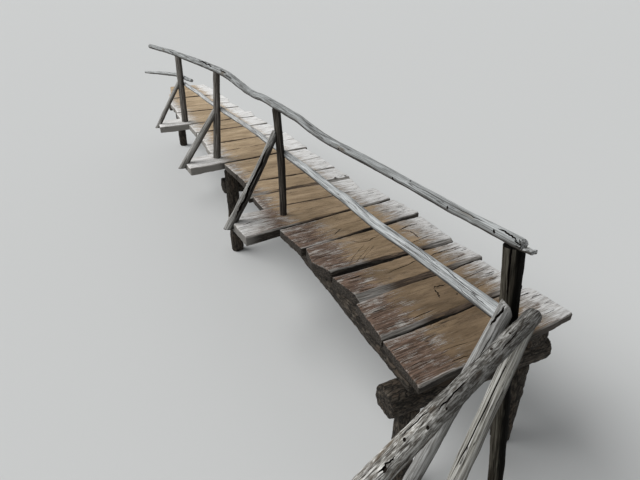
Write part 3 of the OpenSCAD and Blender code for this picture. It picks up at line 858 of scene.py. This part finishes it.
APPROACH_RAIL = [
    (-388, -403, 18, 0.98), (-824, -556, 3, 1.00), (-1141, -669, -3, 1.04), (-1376, -751, -17, 1.04),
    (-1745, -882, -35, 1.06)]


def log_under_deck(node, name, axis, voxel=0.014, seed=1):
    """Log in its bark, hewn flat where it carries or is carried."""
    piece = copy_of(node, name)
    apply(piece, 'REMESH', mode='VOXEL', voxel_size=voxel)
    apply(piece, 'SMOOTH', factor=0.5, iterations=3)
    stretch = tuple(3.0 if k == axis else 1.0 for k in range(3))
    weather(piece, 0.06, 0.016, stretch=stretch, at=(seed * 1.3, seed * 2.1, seed))
    weather(piece, 0.03, 0.010, stretch=stretch, hard=True, at=(seed * 1.3, seed * 2.1, seed))
    apply(piece, 'DECIMATE', ratio=0.5)
    second, third = (axis + 1) % 3, (axis + 2) % 3
    mark(piece, "grain", [(v.co[axis] + seed, v.co[second], v.co[third]) for v in piece.data.vertices])
    finish(piece, BARK_WOOD, node)
    return piece


# Making the bridge

add_camera()

planks = {}
for number in range(1, 24):
    near = number <= NEAR_PLANKS
    planks[number] = split_plank(number, 0.007 if near else 0.010, 0.4 if near else 0.3)

X_AXIS, Y_AXIS, Z_AXIS = 0, 1, 2
for k, (node, axis) in enumerate([
        ("stringer_near_left", Y_AXIS), ("stringer_near_right", Y_AXIS), ("stringer_far_left", Y_AXIS),
        ("stringer_far_right", Y_AXIS), ("near_sill", X_AXIS), ("mid_sill", X_AXIS), ("far_sill", X_AXIS),
        ("near_leg_left", Z_AXIS), ("near_leg_right", Z_AXIS), ("mid_leg_left", Z_AXIS),
        ("mid_leg_right", Z_AXIS), ("far_leg_left", Z_AXIS), ("far_leg_right", Z_AXIS)]):
    log = log_under_deck(node, "barked_" + node, axis, seed=k + 1)
    if axis == Z_AXIS:
        trim(log, (0, 0, FLOOR), (0, 0, -1))

top_rail = pole("peeled_top_rail", "top_rail", rail_route(TOP_RAIL, 965, 56), TOP_RAIL_WOOD,
                sides=48, ring=0.022, seed=1)
mid_rail_near = pole("peeled_mid_rail_near", "mid_rail_near", rail_route(MID_RAIL_NEAR, 540, 70),
                     MID_RAIL_WOOD, sides=48, ring=0.018, lumps=0.06, seed=2)
pole("peeled_mid_rail_far", "mid_rail_far", rail_route(MID_RAIL_FAR, 545, 75), FAR_RAIL_WOOD,
     sides=32, ring=0.03, seed=3)
pole("peeled_far_pole", "far_pole", rail_route(FAR_POLE, 540, 70), POLE_WOOD, sides=28, ring=0.03, seed=4)
approach_rail = pole("knotty_approach_rail", "approach_rail", rail_route(APPROACH_RAIL, 600, 78), KNOTTY_WOOD,
                     sides=56, ring=0.010, lumps=0.11, furrows=0.006, furrow_length=9, seed=5)

pole("grey_post_far", "post_far", upright_route((-717, 6130, 4), (-700, 6120, 967), (94, 90)), POST_WOOD,
     sides=32, ring=0.03, seed=6, upright=True)
pole("grey_post_mid", "post_mid", upright_route((-705, 4190, 2), (-615, 4170, 1017), (92, 76)), POST_WOOD,
     sides=36, ring=0.025, seed=7, upright=True)
pole("grey_post_near", "post_near", upright_route((-560, 2285, 4), (-586, 2290, 992), (66, 70), bow=0.012),
     NEAR_POST_WOOD, sides=40, ring=0.02, seed=8, upright=True)


# Side of the block that is cut from a brace where it lies on its plank's end
NOTCH = 400


def brace(name, node, foot, head, d, plank_end, plank_top, post_face, wood, bow=0.0, **kind):
    """Slanted brace, sawn to lie against the plank's end and the post's side."""
    route = upright_route(foot, head, d, below=0.09, above=0.09, bow=bow)
    piece = pole(name, node, route, wood, upright=True, **kind)
    bpy.ops.object.select_all(action='DESELECT')
    middle = on_deck(plank_end + NOTCH / 2, foot[1], plank_top - NOTCH / 2)
    bpy.ops.mesh.primitive_cube_add(size=NOTCH / 1000, location=middle)
    block = bpy.context.object
    block.data.materials.append(wood)
    split(piece, [block])
    trim(piece, on_deck(0, 0, foot[2]), (0, 0, -1))
    trim(piece, on_deck(post_face, head[1], head[2]), (1, 0, 0.06))
    trim(piece, on_deck(head[0], head[1], head[2] + 5), (-0.3, 0, 1))
    return piece


brace("peeled_brace_far", "brace_far", (-1139, 6150, -47), (-715, 6130, 630), (66, 60),
      plank_end=-1110, plank_top=8, post_face=-749, wood=BRACE_WOOD, sides=32, ring=0.03, seed=9)
brace("peeled_brace_mid", "brace_mid", (-1143, 4150, -49), (-631, 4190, 625), (84, 72),
      plank_end=-1105, plank_top=6, post_face=-686, wood=BRACE_WOOD, sides=32, ring=0.025, seed=10)
brace_near = brace("split_brace_near", "brace_near", (-1077, 2330, -47), (-597, 2288, 805), (92, 62),
                   plank_end=-1035, plank_top=8, post_face=-613, wood=SPLIT_BRACE_WOOD, bow=0.018,
                   sides=44, ring=0.02, seed=11)

first_post = pole("dark_first_post", "first_post",
                  upright_route((-374, -530, -1200), (-476, -295, 943), (72, 88), below=0.08,
                                girth=(1, 1, 1, 0.9, 1.04)), DARK_POST_WOOD,
                  sides=48, ring=0.02, seed=12, upright=True, level_foot=FLOOR)
first_brace = pole("peeled_first_brace", "first_brace",
                   upright_route((-1170, -270, -1200), (-525, -372, 698), (84, 72), below=0.08, above=0.05),
                   FIRST_BRACE_WOOD, sides=48, ring=0.02, seed=13, upright=True, level_foot=FLOOR)
trim(first_brace, on_deck(-534, -363, 706), (0.905, -0.203, 0.370))
trim(first_brace, on_deck(-537, -359, 711), (-0.3, 0, 0.95))
approach_strut = pole("peeled_approach_strut", "approach_strut",
                      upright_route((-1594, -845, -1200), (-419, -405, 580), (82, 72), below=0.1), STRUT_WOOD,
                      sides=48, ring=0.02, seed=14, upright=True, level_foot=FLOOR)
pole("grey_approach_post", "approach_post",
     upright_route((-1710, -978, -1200), (-1710, -978, 650), (130, 130)), POST_WOOD,
     sides=48, ring=0.03, seed=15, upright=True)

# Cracks and knots where the picture shows them
cracks(planks[1], (0.006, 0.014, (449, 363), (458, 359), (470, 355)),
       (0.005, 0.012, (440, 352), (455, 346), (472, 341)))
cracks(planks[2], (0.008, 0.018, (378, 330), (404, 322), (428, 312), (436, 308)),
       (0.014, 0.014, (433, 288), (438, 286), (446, 285)),
       (0.014, 0.014, (434, 289), (438, 294), (440, 298)),
       (0.007, 0.012, (452, 285), (462, 279), (475, 273.5), (488, 268)),
       (0.006, 0.010, (468, 293), (478, 287), (490, 281)))
cracks(planks[3], (0.008, 0.010, (385, 274), (397, 269), (410, 264), (421, 258)),
       (0.012, 0.030, (429, 256), (436, 253.5), (444, 250.5), (452, 248.5), (460, 246)),
       (0.007, 0.012, (446, 262.5), (455, 258.5), (465, 254)))
cracks(planks[4], (0.010, 0.014, (349, 240), (358, 242.4), (368, 241), (380, 235)),
       (0.005, 0.008, (366, 242.4), (354, 256), (349, 264)),
       (0.005, 0.008, (371, 244), (360, 257), (354, 266)),
       (0.004, 0.006, (376, 243), (366, 255), (359, 265)),
       (0.014, 0.018, (398, 230.6), (404, 227.5), (411, 225), (417.5, 223.8)),
       (0.014, 0.016, (401, 231.5), (408, 231), (413.8, 233), (417, 236.5), (420, 239)),
       (0.009, 0.012, (409, 243.5), (416, 241), (424, 238), (431, 235)))
cracks(planks[5], (0.009, 0.014, (334, 235), (342, 228)))
cracks(planks[6], (0.010, 0.014, (239, 226), (250, 222.5), (262, 219), (279, 216)))
knots(planks[1], (431, 325, 0.006, 0, 0.004))
knots(planks[2], (457, 294, 0.009, 0, 0.006))
knots(planks[8], (335, 178, 0.016, 0.010, 0.014), (345, 176, 0.014, 0.008, 0.012))

post_crack = seen(first_post, (510.9, 252), (510.4, 256), (509, 270), (507.9, 284), (507, 296), (506.5, 303))
past_top = post_crack[0][0] + (post_crack[0][0] - post_crack[2][0]).normalized() * 0.09
split(first_post, [blade([(past_top, post_crack[0][1]), *post_crack], 0.010, 0.05, wander=0.0006)])
cracks(brace_near, (0.022, 0.045, (270, 144), (265, 155), (258, 170), (250, 187), (242, 204), (235, 220)),
       (0.014, 0.03, (264, 165), (256, 181), (249, 196)), (0.022, 0.03, (252, 184), (244, 200), (236, 218)))
cracks(approach_rail, (0.006, 0.025, (398, 440), (408, 430), (420, 418), (432, 408)),
       (0.007, 0.03, (436, 412), (446, 402), (455, 392), (466, 381)),
       (0.006, 0.025, (470, 366), (480, 356), (490, 347), (500, 338)),
       (0.006, 0.025, (452, 378), (462, 368), (472, 358)),
       (0.007, 0.025, (376, 474), (386, 464), (396, 456)),
       (0.006, 0.025, (500, 352), (510, 341), (520, 329)))
knots(approach_rail, (427, 428, 0.009, 0.006, 0.008), (404, 440, 0.009, 0.005, 0.008),
      (384, 470, 0.012, 0.008, 0.006), (446, 409, 0.007, 0.004, 0.006),
      (492, 350, 0.010, 0.006, 0.004), (510, 334, 0.008, 0.005, 0.005))
cracks(approach_strut, (0.007, 0.035, (512, 354), (506, 366), (500, 378), (494, 390), (486, 408), (476, 428),
                        (465, 450), (454, 470), (450, 478)), wander=0.15)
cracks(first_brace, (0.013, 0.03, (506, 305), (503, 310), (496, 318), (489.5, 326)),
       (0.005, 0.02, (494, 332), (485, 347), (476, 362)), wander=0.2)
bite(top_rail, on_deck(-480, -420, 932.5), (0.2, 0.21, 0.05), math.radians(-11), 0.010, TOP_RAIL_WOOD)
bite(top_rail, on_deck(-480, -394, 1014), (0.2, 0.13, 0.10), math.radians(-14), 0.016, FAR_RAIL_WOOD)
cracks(top_rail, (0.018, 0.035, (199, 60), (206, 63.5), (213, 67.5)), (0.014, 0.03, (219, 69.5), (227, 73.5)),
       (0.010, 0.02, (225, 75), (232, 79)), (0.010, 0.02, (176, 56), (186, 62)),
       (0.012, 0.02, (169, 50.5), (174, 53.5)),
       (0.009, 0.03, (498, 228), (506, 232.5), (512, 236), (518, 241)),
       (0.008, 0.02, (514, 240), (517, 243), (521, 246)), (0.007, 0.02, (515, 245), (519, 248), (523, 250)),
       (0.006, 0.015, (519, 239), (520, 243), (521, 248)),
       (0.004, 0.015, (300, 121), (315, 131), (330, 140)), (0.004, 0.014, (345, 155), (365, 166), (385, 177)),
       (0.004, 0.014, (405, 186), (425, 197), (448, 211)), (0.004, 0.014, (455, 207), (472, 216), (486, 223)))
knots(top_rail, (338.6, 149, 0.009, 0.003, 0.008), (393, 178.5, 0.012, 0.003, 0.012),
      (410.5, 181, 0.007, 0.002, 0.008), (447.5, 207.5, 0.009, 0.002, 0.010),
      (494, 231.5, 0.010, 0, 0.014), (472, 221, 0.014, 0.012, 0))
cracks(mid_rail_near, (0.004, 0.014, (470, 292), (478, 299), (487, 306)),
       (0.004, 0.018, (440, 264), (455, 277), (470, 290)), (0.004, 0.014, (405, 240), (420, 251), (434, 263)),
       (0.003, 0.012, (380, 222), (390, 229), (400, 236)), (0.003, 0.012, (350, 196), (360, 205), (372, 215)),
       (0.004, 0.014, (456, 285), (464, 293), (473, 300)))


# Studio


def add_studio():
    bpy.ops.mesh.primitive_plane_add(size=420, location=(0, 0, FLOOR))
    floor = bpy.context.object
    floor.name = "studio_floor"
    paper = bpy.data.materials.new("matt_floor_paper")
    paper.use_nodes = True
    shader = paper.node_tree.nodes["Principled BSDF"]
    shader.inputs["Base Color"].default_value = linear('#cfd0cf')
    shader.inputs["Roughness"].default_value = 0.95
    shader.inputs["Specular IOR Level"].default_value = 0.1
    floor.data.materials.append(paper)
    bpy.ops.object.light_add(type='SUN', rotation=(math.radians(-22), math.radians(-38), 0))
    lamp = bpy.context.object
    lamp.name = "soft_key"
    lamp.data.energy = 2.6
    lamp.data.angle = math.radians(50)
    world = bpy.data.worlds.new("soft_sky")
    bpy.context.scene.world = world
    world.use_nodes = True
    tree = world.node_tree
    tree.nodes.clear()
    rays = add(tree, "LightPath").outputs
    shown = add(tree, LARGER, rays["Is Camera Ray"], rays["Is Glossy Ray"])
    shown = add(tree, LARGER, shown, rays["Is Transmission Ray"])
    strength = add(tree, "MapRange", Value=shown, To_Min=0.38, To_Max=0.95)
    add(tree, "OutputWorld", add(tree, "Background", Color='#f2f4f6', Strength=strength))
    bpy.context.scene.view_settings.view_transform = 'Standard'


add_studio()
